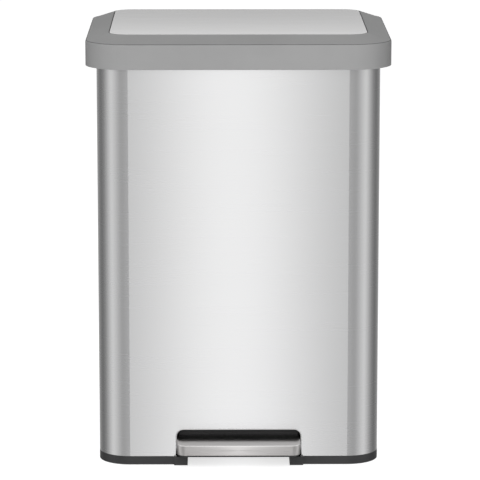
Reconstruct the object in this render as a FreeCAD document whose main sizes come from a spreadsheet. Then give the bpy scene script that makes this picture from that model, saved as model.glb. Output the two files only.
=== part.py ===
"""A rectangular step-on waste bin of about fifty litres, as its separate pieces.

Millimetres, +Z up, front towards -Y.  Every piece is drawn about the middle of the steel body,
and its Placement moves it so that the origin is under the middle of the whole bin, pedal included.
"""
import FreeCAD, Part
import math
import os
import re
import Sketcher

SIZES = {
    # Steel body: a folded wrap with a pedal cut-out in its front.
    "body_width": 390, "body_depth": 330, "body_corner": 44, "sheet_thickness": 1,
    "body_bottom": 13, "body_top": 556,
    "cutout_width": 173, "cutout_top": 51, "cutout_corner": 10,
    # Moulded base: ring, floor, upstand inside the wrap, pedal hood and bucket benches.
    "tray_bottom": 1, "tray_floor": 3, "tray_wall": 3, "upstand_top": 48, "foot_radius": 12,
    "foot_inset": 24, "block_inner": 71, "block_outer": 90, "block_proud": 5, "block_length": 20,
    "hood_wall": 3, "hood_length": 45, "bench_inner": 110, "bench_outer": 165,
    "bench_front": 112, "bench_back": 100, "bench_wall": 3,
    # Collar on the body's top edge, with the hinge ears on its rear.
    "collar_height": 18, "collar_grip": 20, "collar_wall": 3, "collar_flange": 8,
    "notch_half": 11, "ear_place": 120, "ear_width": 9, "knuckle_radius": 5,
    # Hinge axis and its pin.
    "hinge_behind": 6.5, "hinge_above": 5, "hinge_pin_radius": 2.5, "bush_wall": 1.15,
    # Lid: moulded rim with a steel inlay on top and a lining below.
    "lid_overhang": 15, "lid_corner": 58, "lid_bottom": 557, "skirt_height": 34, "skirt_wall": 2.5,
    "rim_width": 32, "rim_rise": 10.5, "rim_edge": 2.5, "rim_skin": 3, "panel_ledge": 8,
    "panel_thickness": 2.3, "panel_seam": 1.2, "panel_proud": 0.3, "panel_edge": 0.8,
    "knuckle_width": 12.8, "lining_depth": 7, "lining_wall": 2.5, "lining_side": 10,
    "lining_rear": 34, "lining_corner": 48, "lining_screw_inset": 25,
    "bumper_radius": 3.5, "bumper_inset": 4,
    # Crank on the lid, and the pin that lifts with the rod.
    "crank_forward": 19.6, "crank_below": 10, "crank_thickness": 6, "crank_half": 5,
    "crank_pin_radius": 2.5, "crank_pin_half": 9, "crank_flange_half": 14, "crank_flange": 3,
    # Lift rod with its two slotted ends, its guides and its damper.
    "rod_inset": 25.5, "rod_radius": 3.5, "rod_engage": 8, "head_half": 9, "head_cheek": 5,
    "head_front": 4.5, "head_bridge": 9, "head_above": 8, "head_below": 12, "head_socket": 10,
    "head_rear_gap": 2.5, "pin_sweep": 2.4, "slot_below": 3.2, "slot_above": 4.6,
    "foot_half": 9.6, "foot_cheek": 5, "foot_reach": 6.5, "foot_below": 8, "foot_top": 12,
    "foot_body": 12, "foot_slot_front": 4.6, "guide_low": 180, "guide_high": 470,
    "guide_height": 16, "guide_half": 9, "guide_plate_half": 20, "guide_plate": 3,
    "guide_front": 5, "damper_place": 26, "damper_behind": 10.5, "damper_radius": 7,
    "damper_low": 220, "damper_length": 110, "saddle_wall": 2, "damper_rod_radius": 2.2,
    "damper_rod_low": 260,
    "clamp_low": 380, "clamp_height": 12, "clamp_half": 7,
    # Pedal: steel tread on a moulded core, carried by a lever on an axle across the base.
    "pedal_width": 171, "pedal_reach": 37, "pedal_bottom": 26, "pedal_height": 12,
    "pedal_corner": 14, "pedal_inside": 22, "tread_thickness": 1.5, "tread_edge": 1.35, "core_below": 2,
    "flap_thickness": 3, "flap_gap": 2, "flap_side": 2,
    "pivot_behind": 75, "pivot_height": 28, "lever_half": 30, "lever_bottom": 24, "lever_top": 33,
    "lever_sheet": 3, "lever_front": 19, "lever_plate_end": 45, "tongue_half": 4, "tongue_start": 80,
    "tongue_past": 7.5, "lever_boss": 8, "axle_radius": 4, "axle_boss_inner": 40,
    "axle_boss_outer": 50, "axle_boss_half": 9, "axle_bush_wall": 1.35, "clip_thickness": 1.4,
    "clip_radius": 6.5, "lever_pin_radius": 2.5,
    # Bucket that lifts out, and the ring that holds the bag on its rim.
    "bucket_side_gap": 10, "bucket_front_gap": 10, "bucket_rear_gap": 33, "bucket_corner": 36,
    "bucket_bottom": 64, "bucket_wall": 2.5, "bucket_top": 566, "bag_ring_width": 8,
    "bag_ring_height": 3, "bag_ring_skirt": 18, "bag_ring_wall": 2,
    # Fasteners and clearances.
    "screw_radius": 2, "rivet_inset": 6, "screw_head_radius": 3.5, "screw_head": 2, "screw_length": 13,
    "fit_gap": 0.2, "run_gap": 0.15, "side_gap": 0.6, "bumper_gap": 0.3, "slide_gap": 0.3,
}

# Places worked out from the sizes, as expressions.
FRONT = "(-body_depth / 2)"
REAR = "(body_depth / 2)"
REAR_INSIDE = "(body_depth / 2 - sheet_thickness)"
LID_WIDTH = "(body_width + 2 * lid_overhang)"
LID_DEPTH = "(body_depth + 2 * lid_overhang)"
SKIRT_TOP = "(lid_bottom + skirt_height)"
LID_TOP = "(lid_bottom + skirt_height + rim_rise)"
CEILING = "(lid_bottom + skirt_height - rim_skin)"
LINING_BOTTOM = "(lid_bottom + skirt_height - rim_skin - lining_depth)"
LINING_FRONT = "(-body_depth / 2 - lid_overhang + lining_side)"
LINING_REAR = "(body_depth / 2 + lid_overhang - lining_rear)"
COLLAR_TOP = "(body_top + collar_height)"
AXIS_Y = "(body_depth / 2 + hinge_behind)"
AXIS_Z = "(lid_bottom + hinge_above)"
PIN_Y = "(body_depth / 2 + hinge_behind - crank_forward)"
PIN_Z = "(lid_bottom + hinge_above - crank_below)"
ROD_Y = "(body_depth / 2 - rod_inset)"
HEAD_BOTTOM = f"({PIN_Z} - head_below - head_socket)"
FOOT_TOP = "(pivot_height + foot_top + foot_body)"
DAMPER_Y = f"({ROD_Y} + damper_behind)"
PIVOT_Y = "(pivot_behind - body_depth / 2)"
PEDAL_FRONT = "(-body_depth / 2 - pedal_reach)"
PEDAL_TOP = "(pedal_bottom + pedal_height)"
BUCKET_WIDTH = "(body_width - 2 * sheet_thickness - 2 * bucket_side_gap)"
BUCKET_FRONT = "(-body_depth / 2 + bucket_front_gap)"
BUCKET_REAR = "(body_depth / 2 - bucket_rear_gap)"
BUCKET_DEPTH = "(body_depth - bucket_front_gap - bucket_rear_gap)"
BUCKET_Y = "((bucket_front_gap - bucket_rear_gap) / 2)"
FRAME_SHIFT = "((pedal_reach - lid_overhang) / 2)"
PAST = 1  # how far a cut runs past the face it opens
NEARLY_ROUND = 0.98  # the share of a half width that its end's corners take

doc = FreeCAD.newDocument("StepBin")
sheet = doc.addObject("Spreadsheet::Sheet", "Sizes")
for row, (alias, number) in enumerate(SIZES.items(), start=1):
    sheet.set(f"A{row}", alias)
    sheet.set(f"B{row}", str(number))
    sheet.setAlias(f"B{row}", alias)
doc.recompute()


def linked(text):
    """An expression in plain size names, with each name pointed at the sheet."""
    return re.sub(r"[a-z_]+", lambda word: "Sizes." + word.group(), str(text))


def amount(text):
    """What an expression comes to, as the first guess for a sketch."""
    plain = re.sub(r"[a-z_]+", lambda word: str(SIZES[word.group()]), str(text))
    return FreeCAD.Units.parseQuantity(plain).Value


def bind(item, name, text):
    """Ties one property of an object to an expression over the sheet."""
    item.setExpression(name, linked(text))


def piece(label):
    """A new body for one sub-part, shifted with the rest of the bin."""
    body = doc.addObject("PartDesign::Body", label)
    body.Label = label
    body.AllowCompound = True
    bind(body, "Placement.Base.y", FRAME_SHIFT)
    return body


def box(body, name, across, along, up, cut=False):
    """A block between two expressions on each axis."""
    kind = "SubtractiveBox" if cut else "AdditiveBox"
    block = body.newObject("PartDesign::" + kind, name)
    for side, axis, (low, high) in (("Length", "x", across), ("Width", "y", along),
                                    ("Height", "z", up)):
        bind(block, side, f"({high}) - ({low})")
        bind(block, "Placement.Base." + axis, low)
    return block


def span(half):
    """The two ends of a width that is centred on X."""
    return f"-({half})", half


def rod(body, name, axis, radius, low, high, first, second, cut=False):
    """A cylinder along X, Y or Z.  `first` and `second` place it on the two other axes."""
    kind = "SubtractiveCylinder" if cut else "AdditiveCylinder"
    cylinder = body.newObject("PartDesign::" + kind, name)
    turn = {"x": FreeCAD.Rotation(FreeCAD.Vector(0, 1, 0), 90),
            "y": FreeCAD.Rotation(FreeCAD.Vector(1, 0, 0), -90),
            "z": FreeCAD.Rotation()}[axis]
    cylinder.Placement = FreeCAD.Placement(FreeCAD.Vector(), turn)
    bind(cylinder, "Radius", radius)
    bind(cylinder, "Height", f"({high}) - ({low})")
    bind(cylinder, "Placement.Base." + axis, low)
    for other, place in zip([word for word in "xyz" if word != axis], (first, second)):
        bind(cylinder, "Placement.Base." + other, place)
    return cylinder


def flat_sketch(body, name, plane, level):
    """An empty sketch on one of the body's origin planes, moved along its normal."""
    sketch = body.newObject("Sketcher::SketchObject", name)
    flat = next(item for item in body.Origin.OriginFeatures if item.Role == plane)
    sketch.AttachmentSupport = [(flat, "")]
    sketch.MapMode = "FlatFace"
    bind(sketch, "AttachmentOffset.Base.z", level)
    return sketch


def rounded_outline(sketch, width, height, radius):
    """A rectangle with round corners, centred on the sketch's origin and fully constrained."""
    half_width, half_height, corner = amount(width) / 2, amount(height) / 2, amount(radius)
    inner_x, inner_y = half_width - corner, half_height - corner
    point = lambda x, y: FreeCAD.Vector(x, y, 0)
    corners = [(1, 1, 0), (-1, 1, 90), (-1, -1, 180), (1, -1, 270)]
    for sign_x, sign_y, start in corners:
        circle = Part.Circle(point(sign_x * inner_x, sign_y * inner_y), FreeCAD.Vector(0, 0, 1), corner)
        sketch.addGeometry(Part.ArcOfCircle(circle, math.radians(start), math.radians(start + 90)))
    sketch.addGeometry(Part.LineSegment(point(inner_x, half_height), point(-inner_x, half_height)))
    sketch.addGeometry(Part.LineSegment(point(-half_width, inner_y), point(-half_width, -inner_y)))
    sketch.addGeometry(Part.LineSegment(point(-inner_x, -half_height), point(inner_x, -half_height)))
    sketch.addGeometry(Part.LineSegment(point(half_width, -inner_y), point(half_width, inner_y)))
    for arc, line in enumerate((4, 5, 6, 7)):
        sketch.addConstraint(Sketcher.Constraint("Tangent", arc, 2, line, 1))
        sketch.addConstraint(Sketcher.Constraint("Tangent", line, 2, (arc + 1) % 4, 1))
    for line, direction in ((4, "Horizontal"), (6, "Horizontal"), (5, "Vertical"), (7, "Vertical")):
        sketch.addConstraint(Sketcher.Constraint(direction, line))
    for arc in (1, 2, 3):
        sketch.addConstraint(Sketcher.Constraint("Equal", 0, arc))
    sketch.addConstraint(Sketcher.Constraint("Symmetric", 0, 3, 2, 3, -1, 1))
    for kind, label, ends, text in (("DistanceX", "width", (5, 1, 7, 1), width),
                                    ("DistanceY", "height", (6, 1, 4, 1), height)):
        index = sketch.addConstraint(Sketcher.Constraint(kind, *ends, amount(text)))
        sketch.renameConstraint(index, label)
        bind(sketch, "Constraints." + label, text)
    index = sketch.addConstraint(Sketcher.Constraint("Radius", 0, corner))
    sketch.renameConstraint(index, "corner")
    bind(sketch, "Constraints.corner", radius)


def prism(body, name, size, up, centre="0", cut=False):
    """An upright prism with round corners: `size` is its width, depth and corner radius."""
    low, high = up
    sketch = flat_sketch(body, name + "Outline", "XY_Plane", high if cut else low)
    bind(sketch, "AttachmentOffset.Base.y", centre)
    rounded_outline(sketch, *size)
    feature = body.newObject("PartDesign::" + ("Pocket" if cut else "Pad"), name)
    feature.Profile = sketch
    bind(feature, "Length", f"({high}) - ({low})")
    return feature


def window(body, name, size, along, height):
    """A round-cornered window cut along Y, centred on X at `height`."""
    sketch = flat_sketch(body, name + "Outline", "XZ_Plane", f"-({along[0]})")
    bind(sketch, "AttachmentOffset.Base.y", height)
    rounded_outline(sketch, *size)
    feature = body.newObject("PartDesign::Pocket", name)
    feature.Profile = sketch
    bind(feature, "Length", f"({along[1]}) - ({along[0]})")
    return feature


def edges_at(shape, height):
    """The names of the edges that lie wholly at one height."""
    doc.recompute()
    level = amount(height)
    return [f"Edge{number}" for number, edge in enumerate(shape().Edges, start=1)
            if abs(edge.BoundBox.ZMin - level) < 0.001 and abs(edge.BoundBox.ZMax - level) < 0.001]


def inset(size, gap):
    """A rounded rectangle's width, depth and corner, each drawn in by a gap."""
    width, depth, corner = size
    return f"({width} - 2 * ({gap}))", f"({depth} - 2 * ({gap}))", f"({corner} - ({gap}))"


BODY = ("body_width", "body_depth", "body_corner")
LID = (LID_WIDTH, LID_DEPTH, "lid_corner")
BUCKET = (BUCKET_WIDTH, BUCKET_DEPTH, "bucket_corner")
SIDES = (("Left", "-1"), ("Right", "1"))


def guide_screw_places():
    """Where the four guide screws stand in the rear wall: name, x and z."""
    for level in ("guide_low", "guide_high"):
        for side, sign in SIDES:
            place = f"{sign} * (guide_half + guide_plate_half) / 2"
            yield side + level.title().replace("_", ""), place, f"{level} + guide_height / 2"


def lining_screw_places():
    """Where the six lining screws stand: name, x and y."""
    for side, sign in SIDES:
        across = f"{sign} * ({LID_WIDTH} / 2 - lining_screw_inset)"
        yield side + "Front", across, f"{LINING_FRONT} + lining_screw_inset"
        yield side + "Middle", across, "0"
        yield side + "Rear", across, f"{LINING_REAR} - lining_screw_inset"


def crank_screw_places():
    """Where the two screws of the crank's flange stand: name and x."""
    for side, sign in SIDES:
        yield side, f"{sign} * (crank_thickness / 2 + crank_flange_half) / 2"


CRANK_SCREW_Y = f"({AXIS_Y} - crank_forward / 2 - crank_half / 2)"


def body_shell():
    """The folded steel wrap."""
    body = piece("body_shell")
    prism(body, "Wrap", BODY, ("body_bottom", "body_top"))
    prism(body, "Hollow", inset(BODY, "sheet_thickness"),
          (f"body_bottom - {PAST}", f"body_top + {PAST}"), cut=True)
    window(body, "PedalCutout", ("cutout_width", "2 * (cutout_top - body_bottom)", "cutout_corner"),
           (f"{FRONT} - {PAST}", f"{FRONT} + sheet_thickness + {PAST}"), "body_bottom")
    box(body, "CrankNotch", span("notch_half"), (f"{REAR_INSIDE} - {PAST}", f"{REAR} + {PAST}"),
        (f"{PIN_Z} - crank_half - {PAST}", f"body_top + {PAST}"), cut=True)
    for name, across, height in guide_screw_places():
        rod(body, "Hole" + name, "y", "screw_radius", f"{REAR_INSIDE} - {PAST}", f"{REAR} + {PAST}",
            across, height, cut=True)


def base_tray():
    """The moulded base, with the pedal hood, the axle bosses and the benches under the bucket."""
    body = piece("base_tray")
    inside = inset(BODY, "sheet_thickness + fit_gap")
    floor_top = "(tray_bottom + tray_floor)"
    prism(body, "Ring", BODY, ("tray_bottom", "body_bottom"))
    prism(body, "Upstand", inside, ("body_bottom", "upstand_top"))
    prism(body, "Hollow", inset(inside, "tray_wall"), (floor_top, f"upstand_top + {PAST}"), cut=True)
    hood = (f"{FRONT} + sheet_thickness + fit_gap", f"{FRONT} + hood_length")
    box(body, "Hood", span("cutout_width / 2 + hood_wall"), hood,
        (floor_top, "cutout_top + hood_wall"))
    box(body, "HoodInside", span("cutout_width / 2"),
        (f"{FRONT} - {PAST}", f"{FRONT} + hood_length + {PAST}"), ("body_bottom", "cutout_top"), cut=True)
    for side, sign in SIDES:
        low, high = ("block_inner", "block_outer") if sign == "1" else ("-block_outer", "-block_inner")
        box(body, "Block" + side, (low, high), (f"{FRONT} - block_proud", f"{FRONT} + block_length"),
            ("tray_bottom", "body_bottom"))
        low, high = ("bench_inner", "bench_outer") if sign == "1" else ("-bench_outer", "-bench_inner")
        box(body, "Bench" + side, (low, high), ("-bench_front", "bench_back"),
            (floor_top, "bucket_bottom"))
        box(body, "BenchInside" + side, (f"{low} + bench_wall", f"{high} - bench_wall"),
            (f"-bench_front - {PAST}", f"bench_back + {PAST}"),
            (floor_top, "bucket_bottom - bench_wall"), cut=True)
        low, high = (("axle_boss_inner", "axle_boss_outer") if sign == "1"
                     else ("-axle_boss_outer", "-axle_boss_inner"))
        box(body, "AxleBoss" + side, (low, high),
            (f"{PIVOT_Y} - axle_boss_half", f"{PIVOT_Y} + axle_boss_half"),
            (floor_top, "pivot_height + axle_boss_half"))
        rod(body, "AxleBore" + side, "x", "axle_radius + run_gap + axle_bush_wall",
            f"{low} - {PAST}", f"{high} + {PAST}", PIVOT_Y, "pivot_height", cut=True)
    box(body, "PedalGap", span("block_inner"), (f"{FRONT} - block_proud - {PAST}", f"{FRONT} + hood_length"),
        (f"tray_bottom - {PAST}", "body_bottom"), cut=True)


def base_feet():
    """Rubber pads under the base: four in the corners and two under the pedal blocks."""
    body = piece("base_feet")
    for side, sign in SIDES:
        across = f"{sign} * (body_width / 2 - foot_inset)"
        rod(body, "Front" + side, "z", "foot_radius", "0", "tray_bottom", across,
            f"{FRONT} + foot_inset")
        rod(body, "Rear" + side, "z", "foot_radius", "0", "tray_bottom", across, f"{REAR} - foot_inset")
        rod(body, "Block" + side, "z", "(block_outer - block_inner) / 2 - fit_gap", "0", "tray_bottom",
            f"{sign} * (block_inner + block_outer) / 2", f"{FRONT} + block_length / 2")


def top_frame():
    """The moulded collar that closes the wrap's top edge and carries the hinge."""
    body = piece("top_frame")
    grip = inset(BODY, "sheet_thickness + fit_gap")
    prism(body, "Collar", BODY, ("body_top", COLLAR_TOP))
    prism(body, "Grip", grip, ("body_top - collar_grip", "body_top"))
    prism(body, "Hollow", inset(grip, "collar_wall"),
          (f"body_top - collar_grip - {PAST}", f"{COLLAR_TOP} - collar_wall"), cut=True)
    prism(body, "Mouth", inset(BODY, "collar_flange"),
          (f"body_top - collar_grip - {PAST}", f"{COLLAR_TOP} + {PAST}"), cut=True)
    box(body, "CrankNotch", span("notch_half"), (f"{REAR} - collar_flange - {PAST}", f"{REAR} + {PAST}"),
        (f"body_top - collar_grip - {PAST}", f"{COLLAR_TOP} + {PAST}"), cut=True)
    for name, low, high in ear_places():
        box(body, "Ear" + name, (low, high), (REAR_INSIDE, AXIS_Y),
            (f"{AXIS_Z} - knuckle_radius", f"{AXIS_Z} + knuckle_radius"))
        rod(body, "EarEnd" + name, "x", "knuckle_radius", low, high, AXIS_Y, AXIS_Z)
        rod(body, "EarBore" + name, "x", "hinge_pin_radius + run_gap + bush_wall",
            f"{low} - {PAST}", f"{high} + {PAST}", AXIS_Y, AXIS_Z, cut=True)


def ear_places():
    """The four hinge ears, a pair each side of a lid knuckle: name, low x and high x."""
    inner = "(knuckle_width / 2 + side_gap)"
    for side, sign in SIDES:
        middle = f"{sign} * ear_place"
        yield side + "First", f"{middle} - {inner} - ear_width", f"{middle} - {inner}"
        yield side + "Second", f"{middle} + {inner}", f"{middle} + {inner} + ear_width"


def lid_frame():
    """The moulded lid rim: skirt, sloping top, seat for the inlay and two hinge knuckles."""
    body = piece("lid_frame")
    opening = inset(LID, "rim_width + panel_ledge")
    prism(body, "Rim", LID, ("lid_bottom", LID_TOP))
    slope = body.newObject("PartDesign::Chamfer", "Slope")
    rim = slope.BaseFeature
    slope.Base = (rim, edges_at(lambda: rim.Shape, LID_TOP))
    slope.ChamferType = "Two distances"
    bind(slope, "Size", "rim_width")
    bind(slope, "Size2", "rim_rise")
    doc.recompute()
    if not edges_at(lambda: slope.Shape, SKIRT_TOP):
        slope.FlipDirection = True
    edge = body.newObject("PartDesign::Fillet", "SlopeEdge")
    edge.Base = (slope, edges_at(lambda: slope.Shape, SKIRT_TOP))
    bind(edge, "Radius", "rim_edge")
    prism(body, "Hollow", inset(LID, "skirt_wall"), (f"lid_bottom - {PAST}", CEILING), cut=True)
    prism(body, "Opening", opening, (f"lid_bottom - {PAST}", f"{LID_TOP} + {PAST}"), cut=True)
    prism(body, "InlaySeat", inset(LID, "rim_width"),
          (f"{LID_TOP} + panel_proud - panel_thickness", f"{LID_TOP} + {PAST}"), cut=True)
    for side, sign in SIDES:
        low = f"{sign} * ear_place - knuckle_width / 2"
        high = f"{sign} * ear_place + knuckle_width / 2"
        box(body, "Web" + side, (low, high), (f"{AXIS_Y} - knuckle_radius", f"{AXIS_Y} + knuckle_radius"),
            (AXIS_Z, CEILING))
        rod(body, "Knuckle" + side, "x", "knuckle_radius", low, high, AXIS_Y, AXIS_Z)
        rod(body, "KnuckleBore" + side, "x", "hinge_pin_radius", f"{low} - {PAST}", f"{high} + {PAST}",
            AXIS_Y, AXIS_Z, cut=True)
    for name, across, along in lining_screw_places():
        rod(body, "Hole" + name, "z", "screw_radius", f"{CEILING} - {PAST}",
            f"{LINING_BOTTOM} + screw_length", across, along, cut=True)
    for name, across in crank_screw_places():
        rod(body, "HoleCrank" + name, "z", "screw_radius", f"{CEILING} - {PAST}",
            f"{CEILING} - crank_flange + screw_length - lining_depth", across, CRANK_SCREW_Y, cut=True)


def lid_panel():
    """The brushed steel inlay on the lid."""
    body = piece("lid_panel")
    prism(body, "Sheet", inset(LID, "rim_width + panel_seam"),
          (f"{LID_TOP} + panel_proud - panel_thickness", f"{LID_TOP} + panel_proud"))
    edge = body.newObject("PartDesign::Fillet", "Edge")
    base = edge.BaseFeature
    edge.Base = (base, edges_at(lambda: base.Shape, f"{LID_TOP} + panel_proud"))
    bind(edge, "Radius", "panel_edge")


def lid_lining():
    """The moulded tray that closes the lid from below, with a boss for each screw."""
    body = piece("lid_lining")
    size = (f"({LID_WIDTH} - 2 * lining_side)", f"({LINING_REAR} - {LINING_FRONT})", "lining_corner")
    middle = f"({LINING_REAR} + {LINING_FRONT}) / 2"
    prism(body, "Tray", size, (LINING_BOTTOM, CEILING), middle)
    prism(body, "Hollow", inset(size, "lining_wall"),
          (f"{LINING_BOTTOM} + lining_wall", f"{CEILING} + {PAST}"), middle, cut=True)
    for name, across, along in lining_screw_places():
        rod(body, "Boss" + name, "z", "screw_radius + lining_wall", LINING_BOTTOM, CEILING, across, along)
        rod(body, "Hole" + name, "z", "screw_radius", f"{LINING_BOTTOM} - {PAST}", f"{CEILING} + {PAST}",
            across, along, cut=True)


def lid_screws():
    """The six screws of the lining."""
    body = piece("lid_screws")
    for name, across, along in lining_screw_places():
        rod(body, "Head" + name, "z", "screw_head_radius", f"{LINING_BOTTOM} - screw_head",
            LINING_BOTTOM, across, along)
        rod(body, "Shank" + name, "z", "screw_radius", LINING_BOTTOM, f"{LINING_BOTTOM} + screw_length",
            across, along)


def lid_bumpers():
    """Four rubber bumpers under the lining, which meet the collar's flange."""
    body = piece("lid_bumpers")
    for side, sign in SIDES:
        rod(body, "Front" + side, "z", "bumper_radius", f"{COLLAR_TOP} + bumper_gap", LINING_BOTTOM,
            f"{sign} * ear_place", f"{FRONT} + bumper_inset")
        rod(body, "Side" + side, "z", "bumper_radius", f"{COLLAR_TOP} + bumper_gap", LINING_BOTTOM,
            f"{sign} * (body_width / 2 - bumper_inset)", "bench_back / 2")


def hinge_pin():
    """The long steel pin through both hinges and the crank."""
    body = piece("hinge_pin")
    end = "(ear_place + knuckle_width / 2 + side_gap + ear_width + side_gap)"
    rod(body, "Pin", "x", "hinge_pin_radius", f"-{end}", end, AXIS_Y, AXIS_Z)


def hinge_bushes():
    """Nylon bushes in the four ears, in which the pin turns."""
    body = piece("hinge_bushes")
    for name, low, high in ear_places():
        rod(body, "Bush" + name, "x", "hinge_pin_radius + run_gap + bush_wall", low, high, AXIS_Y, AXIS_Z)
        rod(body, "Bore" + name, "x", "hinge_pin_radius + run_gap", f"{low} - {PAST}", f"{high} + {PAST}",
            AXIS_Y, AXIS_Z, cut=True)


def lid_crank():
    """The steel bell crank that hangs from the lid on the hinge pin."""
    body = piece("lid_crank")
    half = span("crank_thickness / 2")
    box(body, "Flange", span("crank_flange_half"),
        (f"{AXIS_Y} - crank_forward - {PAST}", f"{AXIS_Y} + crank_half"),
        (f"{CEILING} - crank_flange", CEILING))
    box(body, "Upright", half, (f"{AXIS_Y} - crank_half", f"{AXIS_Y} + crank_half"),
        (AXIS_Z, f"{CEILING} - crank_flange"))
    rod(body, "Hub", "x", "crank_half", *half, AXIS_Y, AXIS_Z)
    arm = flat_sketch(body, "ArmOutline", "YZ_Plane", "-crank_thickness / 2")
    fall = math.atan2(SIZES["crank_below"], SIZES["crank_forward"])
    arm.AttachmentOffset = FreeCAD.Placement(
        FreeCAD.Vector(), FreeCAD.Rotation(FreeCAD.Vector(0, 0, 1), math.degrees(fall)))
    bind(arm, "AttachmentOffset.Base.x", f"({AXIS_Y} + {PIN_Y}) / 2")
    bind(arm, "AttachmentOffset.Base.y", f"({AXIS_Z} + {PIN_Z}) / 2")
    length = math.hypot(SIZES["crank_forward"], SIZES["crank_below"])
    rounded_outline(arm, f"{length} + 2 * crank_half", "2 * crank_half", f"{NEARLY_ROUND} * crank_half")
    pad = body.newObject("PartDesign::Pad", "Arm")
    pad.Profile = arm
    bind(pad, "Length", "crank_thickness")
    rod(body, "HingeBore", "x", "hinge_pin_radius", "-crank_thickness", "crank_thickness",
        AXIS_Y, AXIS_Z, cut=True)
    rod(body, "PinBore", "x", "crank_pin_radius", "-crank_thickness", "crank_thickness",
        PIN_Y, PIN_Z, cut=True)
    for name, across in crank_screw_places():
        rod(body, "Hole" + name, "z", "screw_radius", f"{CEILING} - crank_flange - {PAST}",
            f"{CEILING} + {PAST}", across, CRANK_SCREW_Y, cut=True)


def crank_pin():
    """The steel pin in the crank's end, which lies in the rod head's slot."""
    body = piece("crank_pin")
    rod(body, "Pin", "x", "crank_pin_radius", *span("crank_pin_half"), PIN_Y, PIN_Z)


def crank_screws():
    """The two screws that hold the crank's flange to the lid rim."""
    body = piece("crank_screws")
    for name, across in crank_screw_places():
        seat = f"{CEILING} - crank_flange"
        rod(body, "Head" + name, "z", "screw_head_radius", f"{seat} - screw_head", seat, across,
            CRANK_SCREW_Y)
        rod(body, "Shank" + name, "z", "screw_radius", seat, f"{seat} + screw_length - lining_depth",
            across, CRANK_SCREW_Y)


def lift_rod():
    """The steel rod behind the bucket that lifts the crank."""
    body = piece("lift_rod")
    rod(body, "Rod", "z", "rod_radius", f"{FOOT_TOP} - rod_engage", f"{HEAD_BOTTOM} + rod_engage",
        "0", ROD_Y)


def rod_head():
    """The forked head on the rod: two slotted cheeks round the crank, joined at the front."""
    body = piece("rod_head")
    front = f"({ROD_Y} - head_front)"
    top = f"{PIN_Z} + head_above"
    box(body, "Block", span("head_half"), (front, f"{REAR_INSIDE} - head_rear_gap"),
        (f"{PIN_Z} - head_below", top))
    box(body, "CrankGap", span("head_half - head_cheek"),
        (f"{front} + head_bridge", f"{REAR} + {PAST}"),
        (f"{PIN_Z} - head_below - {PAST}", f"{top} + {PAST}"), cut=True)
    box(body, "Socket", span("head_half"), (front, f"{front} + head_bridge"),
        (HEAD_BOTTOM, f"{PIN_Z} - head_below"))
    box(body, "PinSlot", span(f"head_half + {PAST}"),
        (f"{PIN_Y} - pin_sweep - crank_pin_radius - slide_gap", f"{REAR} + {PAST}"),
        (f"{PIN_Z} - slot_below", f"{PIN_Z} + slot_above"), cut=True)
    rod(body, "RodBore", "z", "rod_radius", f"{HEAD_BOTTOM} - {PAST}", f"{HEAD_BOTTOM} + rod_engage",
        "0", ROD_Y, cut=True)


def rod_foot():
    """The forked foot of the rod, which the lever's pin lifts."""
    body = piece("rod_foot")
    bottom = "pivot_height - foot_below"
    reach = (f"{ROD_Y} - foot_reach", f"{ROD_Y} + foot_reach")
    box(body, "Block", span("foot_half"), reach, (bottom, FOOT_TOP))
    box(body, "TongueGap", span("foot_half - foot_cheek"),
        (f"{ROD_Y} - foot_reach - {PAST}", f"{ROD_Y} + foot_reach + {PAST}"),
        (f"{bottom} - {PAST}", "pivot_height + foot_top"), cut=True)
    box(body, "PinSlot", span(f"foot_half + {PAST}"),
        (f"{ROD_Y} - foot_slot_front", f"{ROD_Y} + lever_pin_radius + slide_gap"),
        ("pivot_height - lever_pin_radius - slide_gap", "pivot_height + lever_pin_radius + slide_gap"),
        cut=True)
    rod(body, "RodBore", "z", "rod_radius", f"{FOOT_TOP} - rod_engage", f"{FOOT_TOP} + {PAST}",
        "0", ROD_Y, cut=True)


def rod_guides():
    """Two moulded guides on the rear wall."""
    body = piece("rod_guides")
    for level in ("guide_low", "guide_high"):
        up = (level, f"{level} + guide_height")
        name = level.title().replace("_", "")
        box(body, "Plate" + name, span("guide_plate_half"), (f"{REAR_INSIDE} - guide_plate", REAR_INSIDE), up)
        box(body, "Arm" + name, span("guide_half"), (f"{ROD_Y} - guide_front", REAR_INSIDE), up)
        rod(body, "Bore" + name, "z", "rod_radius + slide_gap", f"{level} - {PAST}",
            f"{level} + guide_height + {PAST}", "0", ROD_Y, cut=True)
    for name, across, height in guide_screw_places():
        rod(body, "Hole" + name, "y", "screw_radius", f"{REAR_INSIDE} - guide_plate - {PAST}",
            REAR, across, height, cut=True)


def guide_screws():
    """The four screws of the guides, with their heads on the outside of the rear wall."""
    body = piece("guide_screws")
    for name, across, height in guide_screw_places():
        rod(body, "Head" + name, "y", "screw_head_radius", REAR, f"{REAR} + screw_head", across, height)
        rod(body, "Shank" + name, "y", "screw_radius", f"{REAR_INSIDE} - guide_plate", REAR, across, height)


def damper_cylinder():
    """The oil damper that slows the closing lid."""
    body = piece("damper_cylinder")
    top = "damper_low + damper_length"
    rod(body, "Tube", "z", "damper_radius", "damper_low", top, "damper_place", DAMPER_Y)
    rod(body, "Bore", "z", "damper_rod_radius + slide_gap", "damper_low + damper_radius",
        f"{top} + {PAST}", "damper_place", DAMPER_Y, cut=True)


def damper_bracket():
    """The saddle that holds the damper to the rear wall."""
    body = piece("damper_bracket")
    up = ("damper_low + damper_radius", "damper_low + damper_length - damper_radius")
    box(body, "Saddle",
        ("damper_place - damper_radius - saddle_wall", "damper_place + damper_radius + saddle_wall"),
        (DAMPER_Y, REAR_INSIDE), up)
    rod(body, "Seat", "z", "damper_radius + fit_gap", "damper_low", "damper_low + damper_length",
        "damper_place", DAMPER_Y, cut=True)


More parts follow.
